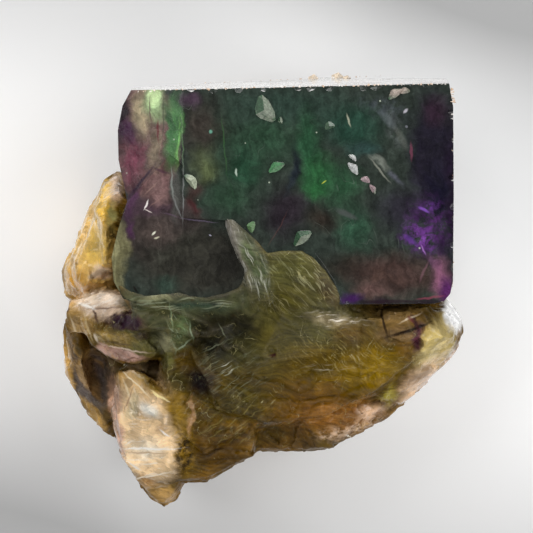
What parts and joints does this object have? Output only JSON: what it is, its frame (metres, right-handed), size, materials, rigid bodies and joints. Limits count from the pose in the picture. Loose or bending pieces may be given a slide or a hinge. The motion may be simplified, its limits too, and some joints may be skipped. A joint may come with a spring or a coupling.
{
  "type": "fluorite cube crystal specimen",
  "caption": "Dark green and purple fluorite cube crystal grown on a broken mass of yellow-green fluorite, lying on its flat broken back.",
  "frame": {"origin": "under the middle of the specimen, on the flat broken back that it rests on", "axes": "+Z is the way the cube's display face looks, +Y runs from the pointed lower end of the base to the cube's upper side, +X is to the right of the display face"},
  "size_m": [0.0612, 0.066, 0.0437],
  "materials": {
    "fluorite": "glassy translucent crystal, dark green and purple on the cube and yellow-green on the broken base"
  },
  "bodies": {
    "root": {"fluorite_specimen": "fluorite"}
  },
  "joints": []
}
